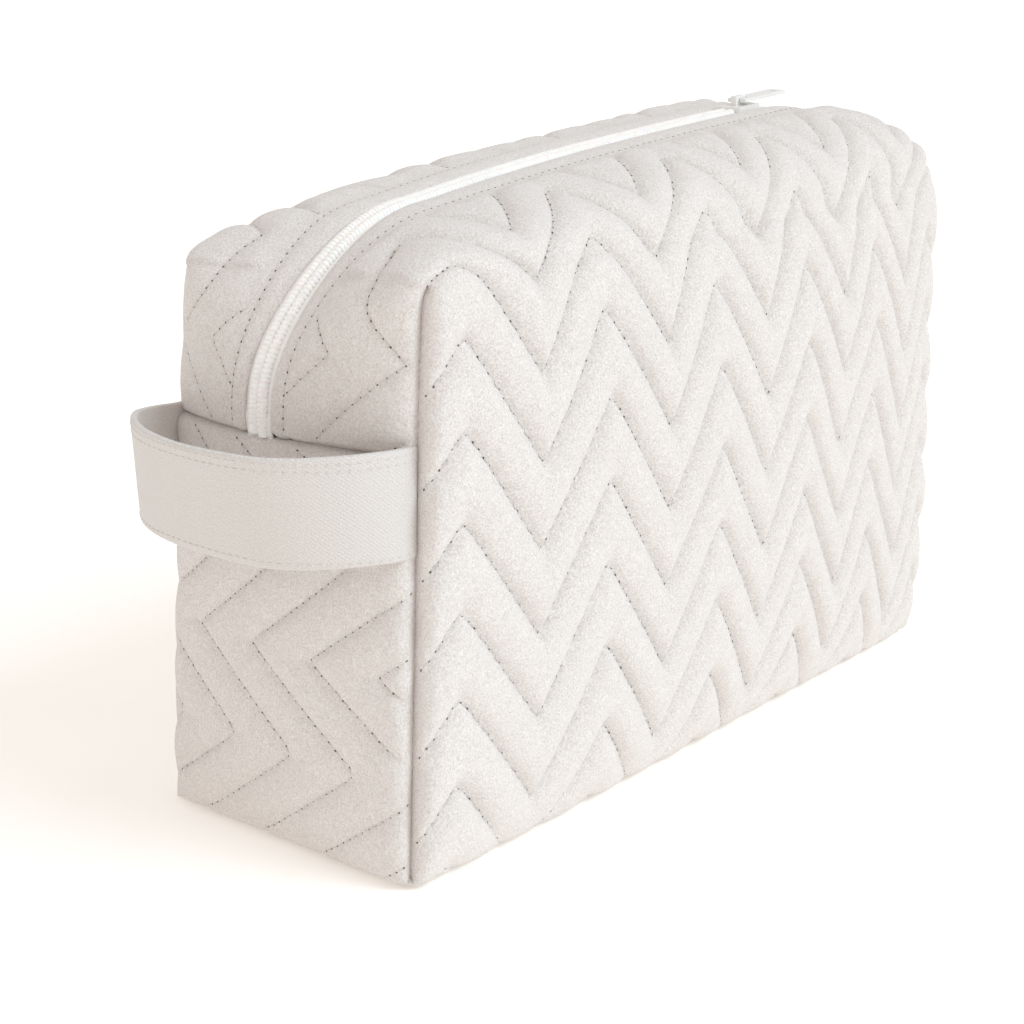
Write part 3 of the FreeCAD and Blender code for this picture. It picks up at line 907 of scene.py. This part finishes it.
def sheet_patches(side):
    """The flat patches of one sheet. The front one also has the bottom and the lower end panels."""
    shape = settings().shape
    flat = layout()
    step = shape.sheet_step
    reach, half = flat.half_length, flat.half_width
    under = half - 2 * half / round(2 * half / step)
    patches = []
    if side < 0:
        patches.append(flat_patch((-reach, -under), (reach, half), step))
        patches.append(flat_patch((-flat.flap_end, -half), (-reach, half), step))
        patches.append(flat_patch((reach, -half), (flat.flap_end, half), step))
    else:
        patches.append(flat_patch((-reach, under), (reach, half), step))
    patches.append(flat_patch((-reach, half), (reach, flat.face_end), step))
    return patches + top_strips(flat.face_end, flat.top_end)


def top_strips(low_q, high_q, rows=None):
    """Patches of the top flap: one over each end and one between them."""
    flat = layout()
    ends = (-flat.wing_end, -flat.half_length, flat.half_length, flat.wing_end)
    return [flat_patch((low, low_q), (high, high_q), settings().shape.sheet_step, rows)
            for low, high in zip(ends, ends[1:])]


def soften(sheets, rounds):
    """Rounds the folds of the folded sheets. Their sewn edges follow the cloth on both sides of the seam."""
    flat = layout()
    before = [points_of(sheet) for sheet in sheets]
    borders = [border_of(sheet) for sheet in sheets]
    by_zip = [flat_of(sheet)[:, 1] > flat.top_end - TOPSTITCH - 0.8 * MM for sheet in sheets]
    shifts = []
    for sheet, border, fixed in zip(sheets, borders, by_zip):
        group = sheet.vertex_groups.new(name="free cloth")
        group.add([int(index) for index in np.flatnonzero(~(border | fixed))], 1.0, "REPLACE")
        apply_modifier(sheet, "SMOOTH", factor=0.5, iterations=rounds, vertex_group=group.name)
        sheet.vertex_groups.clear()
    for sheet, start in zip(sheets, before):
        shifts.append(points_of(sheet) - start)
    count = sum(int((~border).sum()) for border in borders)
    tree = KDTree(count)
    free_shifts = []
    for start, border, shift in zip(before, borders, shifts):
        for index in np.flatnonzero(~border):
            tree.insert(start[index], len(free_shifts))
            free_shifts.append(shift[index])
    tree.balance()
    reach = 5.5 * MM
    for sheet, start, border, fixed, shift in zip(sheets, before, borders, by_zip, shifts):
        moved = start + shift
        for index in np.flatnonzero(border & ~fixed):
            total = np.zeros(3)
            weights = 1e-9
            for _, found, distance in tree.find_range(start[index], reach):
                total += free_shifts[found] * (1 - distance / reach)
                weights += 1 - distance / reach
            moved[index] = start[index] + total / weights
        set_points(sheet, moved)


def fold_object(obj, side):
    """Folds a flat mesh into the bag and keeps its flat measure."""
    flat_points = points_of(obj)
    store_flat(obj, flat_points)
    set_points(obj, fold_sheet(flat_points, side))


def mind_floor(points):
    """Nothing sinks below what the bag stands on."""
    points[:, 2] = np.maximum(points[:, 2], 0)
    return points


class MAKEUPBAG_OT_quilted_sheets(Operator):
    """Fold, soften and quilt the two sheets of the bag"""

    bl_idname = "makeup_bag.quilted_sheets"
    bl_label = "Quilted sheets"

    def execute(self, context):
        flat = layout()
        sheets = []
        for side in (-1, 1):
            patches = sheet_patches(side) + top_strips(flat.top_end, flat.sheet_end, rows=6)
            sheet = join_patches("quilted_sheet_" + SIDE_NAME[side], patches)
            fold_object(sheet, side)
            sheets.append(sheet)
        soften(sheets, 4)
        for side, sheet in zip((-1, 1), sheets):
            apply_modifier(sheet, "SUBSURF", levels=2, boundary_smooth="PRESERVE_CORNERS")
            open_outward(sheet, (0, 0, 75 * MM))
            height = puff_height(flat_of(sheet), side)
            puffed = points_of(sheet) + normals_of(sheet) * height[:, None]
            set_points(sheet, mind_floor(crease(puffed, flat_of(sheet))))
            shade_smooth(sheet)
            set_material(sheet, "velvet")
            bend_with_mouth(sheet)
            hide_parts("face_fabric_" + SIDE_NAME[side], "wadding_" + SIDE_NAME[side])
        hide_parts("face_fabric_base", "wadding_base")
        return {"FINISHED"}


def on_sheet(p, q, side):
    """True well inside the cloth of one sheet, where a quilting line shows."""
    flat = layout()
    margin = 1.0 * MM
    if q > flat.face_end:
        return abs(p) < flat.wing_end - margin and q < flat.top_end - TOPSTITCH - 0.6 * MM and (
            abs(p) < flat.half_length or q > flat.face_end + margin)
    if q > flat.half_width:
        return abs(p) < flat.half_length - margin
    low = -flat.half_width + 4 * MM if side < 0 else flat.half_width - 2 * MM
    return abs(p) < flat.half_length and q > low


def on_end_panel(p, q):
    flat = layout()
    margin = 1.0 * MM
    return flat.half_length < abs(p) < flat.flap_end - margin and abs(q) < flat.half_width - margin


class MAKEUPBAG_OT_stitching(Operator):
    """Sew the quilting lines and the rows beside the zip"""

    bl_idname = "makeup_bag.stitching"
    bl_label = "Stitching"

    def execute(self, context):
        quilting = settings().quilting
        flat = layout()
        face_zone, end_zone = zones()
        for side in (-1, 1):
            cloth = SheetMap(bpy.data.objects["quilted_sheet_" + SIDE_NAME[side]])
            face_lines = zigzag_lines(face_zone, -flat.wing_end, flat.wing_end,
                                      -flat.half_width, flat.top_end)
            lines = clip_lines(face_lines, lambda p, q: on_sheet(p, q, side))
            if side < 0:
                for low, high in ((-flat.flap_end, -flat.half_length), (flat.half_length, flat.flap_end)):
                    end_lines = zigzag_lines(end_zone, low, high, -flat.half_width, flat.half_width)
                    lines += clip_lines(end_lines, on_end_panel)
            top_row = flat.top_end - TOPSTITCH
            lines.append([(p, top_row) for p in np.arange(-flat.wing_end, flat.wing_end, 2 * MM)])
            stitches, holes = sew(cloth, lines, quilting.stitch_pitch)
            threads = thread_piece("quilting_thread_" + SIDE_NAME[side], stitches, quilting.thread, 0.05 * MM)
            # small dark ovals of painted shade, standing in for the shade inside the needle holes
            hole_shades = hole_shade_piece("needle_hole_shade_" + SIDE_NAME[side], holes, 0.24 * MM)
            set_material(threads, "thread")
            set_material(hole_shades, "hole")
            for piece in (threads, hole_shades):
                bend_with_mouth(piece)
        return {"FINISHED"}


# ------------------------------------------------------------------ lining and bindings
LINING_DEPTH = 4.4 * MM


class MAKEUPBAG_OT_lining(Operator):
    """Hang the lining inside the quilted sheets"""

    bl_idname = "makeup_bag.lining"
    bl_label = "Lining"

    def execute(self, context):
        flat = layout()
        linings = []
        cuts = []
        for side in (-1, 1):
            lining = join_patches("lining_sheet_" + SIDE_NAME[side], sheet_patches(side))
            spread = np.ptp(points_of(lining), axis=0)
            cuts.append((spread[0], spread[1], sum(face.area for face in lining.data.polygons)))
            fold_object(lining, side)
            linings.append(lining)
        soften(linings, 10)
        for side, lining, (cut_width, cut_length, area) in zip((-1, 1), linings, cuts):
            points = points_of(lining)
            flat_points = flat_of(lining)
            # it hangs clear of the wadding and comes up under the tape at the zip
            depth = LINING_DEPTH * (1 - 0.5 * smooth_step((flat_points[:, 1] - flat.top_end) / (12 * MM) + 1))
            points[:, 0] *= 1 - depth / flat.half_length
            points[:, 1] *= 1 - depth / flat.half_width
            points[:, 2] = depth + points[:, 2] * (1 - 2 * depth / (160 * MM))
            above = flat_points[:, 1] > flat.face_end
            points[above, 1] = side * np.maximum(np.abs(points[above, 1]), 7.5 * MM)
            sag = 0.8 * MM * ripple(flat_points[:, 0] / (17 * MM), flat_points[:, 1] / (13 * MM), 11 + side)
            set_points(lining, points)
            free = ~border_of(lining)
            set_points(lining, points_of(lining) + normals_of(lining) * (sag * free)[:, None])
            apply_modifier(lining, "SUBSURF", levels=1)
            apply_modifier(lining, "SOLIDIFY", thickness=0.4 * MM, offset=0.0)
            finish_closed(lining, "lining")
            bend_with_mouth(lining)
            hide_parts("lining_" + SIDE_NAME[side])
        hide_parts("lining_base")
        return {"FINISHED"}


def folded_strip(name, low, high, thickness_axis, stitch_axis):
    """A bias binding: a flat strip between two corners, its thin edges rolled over."""
    deselect()
    bpy.ops.mesh.primitive_cube_add(size=1, location=(0, 0, 0))
    strip = bpy.context.object
    name_piece(strip, name)
    points = points_of(strip)
    low, high = np.array(low), np.array(high)
    set_points(strip, low + (points + 0.5) * (high - low))
    edit_all(strip, bpy.ops.mesh.bevel, offset=0.45 * MM, segments=3, affect="EDGES")
    edit_all(strip, bpy.ops.mesh.subdivide, number_cuts=8)
    points = points_of(strip)
    ease = 0.25 * MM * ripple(points[:, stitch_axis] / (6 * MM), points[:, 0] / (9 * MM), 13)
    points[:, thickness_axis] += ease
    set_points(strip, slump(points))
    shade_smooth(strip)
    set_material(strip, "binding")
    return strip


class MAKEUPBAG_OT_bindings(Operator):
    """Bind the raw seam edges inside the bag"""

    bl_idname = "makeup_bag.bindings"
    bl_label = "Bindings"

    def execute(self, context):
        for end in ("near", "far"):
            for side in (-1, 1):
                base = "corner_binding_base_%s_%s" % (end, SIDE_NAME[side])
                mouth = "corner_binding_mouth_%s_%s" % (end, SIDE_NAME[side])
                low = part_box(base)[0]
                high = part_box(mouth)[1]
                strip = folded_strip("corner_binding_%s_%s" % (end, SIDE_NAME[side]), low, high, 0, 2)
                bend_with_mouth(strip)
                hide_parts(base, mouth)
            name = "end_seam_binding_" + end
            low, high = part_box(name)
            strip = folded_strip("bound_" + name, low, high, 0, 1)
            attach(strip, "bag_base")
            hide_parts(name)
        return {"FINISHED"}


# ------------------------------------------------------------------ zip
ZIP_DEPTH = 1.5 * MM       # top of the tapes below the fabric's folded edges


def zip_places(p, across, depth):
    """Places on the zip: p along it, across from its middle, depth below the fabric."""
    shape = settings().shape
    flat = layout()
    points, travel = row_line(1.0, shape, flat)
    beyond = np.maximum(np.abs(p) - flat.wing_end, 0)
    found, normals = along_row(points, travel, np.clip(p, -flat.wing_end, flat.wing_end), flat)
    sunk = roll(np.maximum(flat.wing_end - np.abs(p), 0), LONG_PANEL, LONG_PANEL)[1] * END_SEAM_SHARE
    found[:, 0] -= np.sign(found[:, 0]) * sunk
    found[:, 1] = across
    found[:, 2] -= beyond
    rise = 0.8 + 0.2 * smooth_step((flat.wing_end - np.abs(p)) / (7 * MM))
    found -= normals * (np.asarray(depth) * rise)[..., None]
    return slump(found), normals


class MAKEUPBAG_OT_zip(Operator):
    """Weave the zip's tapes and wind its two coils"""

    bl_idname = "makeup_bag.zip"
    bl_label = "Zip"

    def execute(self, context):
        for side in (-1, 1):
            self.make_tape(side)
            self.make_coil(side)
        return {"FINISHED"}

    @staticmethod
    def make_tape(side):
        flat = layout()
        low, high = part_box("zipper_tape_" + SIDE_NAME[side])
        edges = sorted((abs(low.y), abs(high.y)))
        foot = flat.wing_end + 4 * MM
        tape = flat_patch((-foot, edges[0] - 0.5 * MM), (foot, edges[1]), 1.9 * MM)
        name_piece(tape, "zip_tape_" + SIDE_NAME[side])
        points = points_of(tape)
        store_flat(tape, points)
        dip = ZIP_DEPTH + 0.25 * MM * ripple(points[:, 0] / (9 * MM), points[:, 1] / (5 * MM), 17)
        narrow = 1 - 0.7 * smooth_step((np.abs(points[:, 0]) - flat.wing_end + 9 * MM) / (6 * MM))
        places, _ = zip_places(points[:, 0], points[:, 1] * narrow * side, dip)
        set_points(tape, places)
        apply_modifier(tape, "SOLIDIFY", thickness=0.5 * MM, offset=0.0)
        finish_closed(tape, "tape")
        bend_with_mouth(tape)
        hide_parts("zipper_tape_" + SIDE_NAME[side])

    @staticmethod
    def make_coil(side):
        """A row of nylon loops: each rises at its outer side, arches over and ends in a hooked head."""
        trim = settings().trim
        flat = layout()
        low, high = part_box("zipper_coil_" + SIDE_NAME[side])
        outer = max(abs(low.y), abs(high.y))
        shift = trim.tooth_pitch / 2 if side > 0 else 0
        rows = np.arange(-flat.wing_end + 0.3 * MM, flat.wing_end - 0.3 * MM, trim.tooth_pitch) + shift
        # places along a loop: across from the zip's middle, height above the tape and radius, in mm
        arch = ((outer, 0.1, 0.56), (outer * 0.97, 0.75, 0.62), (outer * 0.76, 1.15, 0.68),
                (outer * 0.48, 1.22, 0.68), (outer * 0.22, 0.9, 0.66), (outer * 0.06, 0.35, 0.60))
        sides = 7
        points = []
        faces = []
        rings = []
        for across, lift, size in arch:
            centres, ups = zip_places(rows, across * side, np.full(len(rows), ZIP_DEPTH - lift * MM))
            rings.append((centres, ups, size))
        for row in range(len(rows)):
            first = len(points)
            for centres, ups, size in rings:
                centre, up = Vector(centres[row]), Vector(ups[row]).normalized()
                along = up.cross(Vector((0, 1, 0))).normalized()
                for step in range(sides):
                    turn = 2 * math.pi * step / sides
                    points.append(centre + (along * math.cos(turn) + up * math.sin(turn)) * size * MM)
            faces += tube_faces(first, len(arch), sides)
        coil = mesh_piece("zip_coil_" + SIDE_NAME[side], points, faces)
        finish_closed(coil, "coil")
        bend_with_mouth(coil)
        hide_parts("zipper_coil_" + SIDE_NAME[side])


class MAKEUPBAG_OT_slider(Operator):
    """Finish the slider, its bail and its pull"""

    bl_idname = "makeup_bag.slider"
    bl_label = "Slider"

    def execute(self, context):
        for name in ("slider_body", "slider_bail", "pull_tab"):
            obj = frame["nodes"][name]
            set_material(obj, "enamel")
        return {"FINISHED"}


# ------------------------------------------------------------------ strap
def bezier(knots, count):
    """Points along cubic curves through knots, each knot as (handle in, place, handle out)."""
    found = []
    for (_, start, leave), (arrive, end, _) in zip(knots, knots[1:]):
        share = np.linspace(0, 1, count)[:-1, None]
        start, leave, arrive, end = (np.array(point, float) for point in (start, leave, arrive, end))
        found.append((1 - share) ** 3 * start + 3 * (1 - share) ** 2 * share * leave
                     + 3 * (1 - share) * share ** 2 * arrive + share ** 3 * end)
    found.append(np.array([knots[-1][1]], float))
    return np.concatenate(found)


def strap_line():
    """The strap's line seen from above, from the front corner seam round to the back one."""
    flat = layout()
    end = -(flat.half_length - SEAM_DROP) / MM
    side = (flat.half_width - SEAM_DROP) / MM
    reach = STRAP_BOX[0].x / MM
    knots = [
        ((end, -side), (end + 1.4, -side + 1.8), (end - 9, -side - 1.2)),
        ((reach + 4.5, -30), (reach + 1.2, -18), (reach - 0.4, -10)),
        ((reach - 0.6, 6), (reach + 3.0, 18), (reach + 7.5, 31)),
        ((end - 9, side + 1.5), (end + 1.4, side - 1.8), (end, side)),
    ]
    return bezier(knots, 40) * MM


class MAKEUPBAG_OT_strap(Operator):
    """Sew on the carrying strap"""

    bl_idname = "makeup_bag.strap"
    bl_label = "Strap"

    def execute(self, context):
        trim = settings().trim
        low, high = STRAP_BOX
        width = high.z - low.z
        middle = (high.z + low.z) / 2 + trim.strap_rise
        line = strap_line()
        travel = travel_along(line)
        strap = flat_patch((0, -width / 2), (travel[-1], width / 2), 1.6 * MM)
        name_piece(strap, "carrying_strap")
        points = points_of(strap)
        store_flat(strap, points)
        places = np.zeros_like(points)
        share = points[:, 0] / travel[-1]
        arc = np.sin(math.pi * share)
        for axis in (0, 1):
            places[:, axis] = np.interp(points[:, 0], travel, line[:, axis])
        places[:, 2] = middle + points[:, 1] + 0.4 * MM * ripple(share * 9, share * 4, 19)
        places[:, 0] -= arc * (points[:, 1] / width) * 3.0 * MM
        places[:, 0] += 0.5 * MM * arc * ripple(points[:, 0] / (16 * MM), points[:, 1] / (20 * MM), 23)
        near_seam = np.clip((places[:, 0] + 128 * MM) / (12 * MM), 0, 1)[:, None]
        places += (slump(places) - places) * near_seam
        set_points(strap, places)
        apply_modifier(strap, "SOLIDIFY", thickness=trim.strap_plump, offset=0.0)
        close_outward(strap)
        apply_modifier(strap, "BEVEL", width=0.55 * MM, segments=3, limit_method="ANGLE")
        shade_smooth(strap)
        set_material(strap, "twill")
        stitches = self.sew_rows(strap, line, travel, middle, width)
        threads = thread_piece("strap_thread", stitches, settings().quilting.thread * 0.9, 0.02 * MM)
        set_material(threads, "strap thread")
        start = (-layout().half_length - 1 * MM, 0, middle)
        for piece in (strap, threads):
            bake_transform(piece)
        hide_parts("strap_loop", "strap_tail_front", "strap_tail_back")
        return {"FINISHED"}

    @staticmethod
    def sew_rows(strap, line, travel, middle, width):
        """Stitches on the outer face: two rows by the upper edge and one by the lower."""
        tree = BVHTree.FromObject(strap, bpy.context.evaluated_depsgraph_get())
        pitch = 2.2 * MM
        stitches = []
        for height in (width / 2 - 1.3 * MM, width / 2 - 3.0 * MM, -width / 2 + 1.4 * MM):
            places = []
            for spot in np.arange(2 * MM, travel[-1] - 2 * MM, pitch / 4):
                x, y = (np.interp(spot, travel, line[:, axis]) for axis in (0, 1))
                ahead = [np.interp(spot + MM, travel, line[:, axis]) for axis in (0, 1)]
                outward = Vector((-(ahead[1] - y), ahead[0] - x, 0)).normalized()
                if outward.dot(Vector((x + 100 * MM, y, 0))) < 0:
                    outward = -outward
                origin = Vector((x, y, middle + height)) + outward * 12 * MM
                hit, normal, _, _ = tree.ray_cast(origin, -outward, 24 * MM)
                places.append((hit, normal))
            for index in range(0, len(places) - 3, 4):
                (start, normal), (end, _) = places[index], places[index + 3]
                if start and end:
                    stitches.append((start, end, normal))
        return stitches


# ------------------------------------------------------------------ studio
def add_sun(name, towards, power, spread, color):
    """A large far softbox: light from one direction, with soft-edged shadows."""
    deselect()
    bpy.ops.object.light_add(type="SUN", location=(0, 0, 3))
    light = bpy.context.object
    light.name = name
    light.data.angle = math.radians(spread)
    light.data.energy = power
    light.data.color = linear(color)[:3]
    light.rotation_euler = (-Vector(towards)).to_track_quat("-Z", "Y").to_euler()


class MAKEUPBAG_OT_studio(Operator):
    """Set up the floor, the lights and the camera"""

    bl_idname = "makeup_bag.studio"
    bl_label = "Studio"

    def execute(self, context):
        studio = settings().studio
        deselect()
        bpy.ops.mesh.primitive_plane_add(size=400)
        floor = context.object
        floor.name = "studio_floor"
        set_material(floor, "paper")
        world = bpy.data.worlds.new("Studio light")
        world.use_nodes = True
        background = world.node_tree.nodes["Background"].inputs
        background["Color"].default_value = linear("#FFFBF8")
        background["Strength"].default_value = studio.surround
        context.scene.world = world
        add_sun("key_light", (0.32, -0.77, 0.67), studio.key_light, 35, "#DEF3FF")
        self.add_camera(context, studio)
        context.scene.view_settings.view_transform = "Standard"
        return {"FINISHED"}

    @staticmethod
    def add_camera(context, studio):
        """Aims the camera at a point near the bag's middle, from the azimuth and elevation set."""
        azimuth = math.radians(studio.azimuth)
        elevation = math.radians(studio.elevation)
        right = Vector((math.cos(azimuth), math.sin(azimuth), 0))
        ahead = Vector((-math.sin(azimuth) * math.cos(elevation), math.cos(azimuth) * math.cos(elevation),
                        -math.sin(elevation)))
        above = right.cross(ahead)
        target = Vector((0, 0, 57.4 * MM)) - right * 20.5 * MM - above * 1.06 * MM
        deselect()
        bpy.ops.object.camera_add(location=target - ahead * studio.distance)
        camera = context.object
        camera.name = "main_camera"
        camera.rotation_euler = ahead.to_track_quat("-Z", "Y").to_euler()
        camera.data.lens = studio.lens
        camera.data.sensor_width = 36
        camera.data.dof.use_dof = False
        camera.data.clip_start = 0.01
        camera.data.clip_end = 600
        context.scene.camera = camera


class MAKEUPBAG_PT_panel(Panel):
    """Builds the makeup bag piece by piece"""

    bl_idname = "MAKEUPBAG_PT_panel"
    bl_label = "Makeup bag"
    bl_space_type = "VIEW_3D"
    bl_region_type = "UI"
    bl_category = "Makeup bag"

    def draw(self, context):
        column = self.layout.column(align=True)
        for operator in OPERATORS:
            column.operator(operator.bl_idname)
        for group in ("shape", "quilting", "trim", "studio"):
            box = self.layout.box()
            box.label(text=group.title())
            values = getattr(settings(), group)
            for name in values.__annotations__:
                box.prop(values, name)


OPERATORS = (
    MAKEUPBAG_OT_studio,
    MAKEUPBAG_OT_quilted_sheets,
    MAKEUPBAG_OT_stitching,
    MAKEUPBAG_OT_lining,
    MAKEUPBAG_OT_bindings,
    MAKEUPBAG_OT_zip,
    MAKEUPBAG_OT_slider,
    MAKEUPBAG_OT_strap,
)
CLASSES = (BagShape, Quilting, ZipAndStrap, Studio, MakeupBag, *OPERATORS, MAKEUPBAG_PT_panel)


def register():
    for each in CLASSES:
        bpy.utils.register_class(each)
    bpy.types.Scene.makeup_bag = PointerProperty(type=MakeupBag)


def unregister():
    del bpy.types.Scene.makeup_bag
    for each in reversed(CLASSES):
        bpy.utils.unregister_class(each)


def main():
    register()
    bpy.ops.makeup_bag.studio()
    bpy.ops.makeup_bag.quilted_sheets()
    bpy.ops.makeup_bag.stitching()
    bpy.ops.makeup_bag.lining()
    bpy.ops.makeup_bag.bindings()
    bpy.ops.makeup_bag.zip()
    bpy.ops.makeup_bag.slider()
    bpy.ops.makeup_bag.strap()


if __name__ == "__main__":
    main()
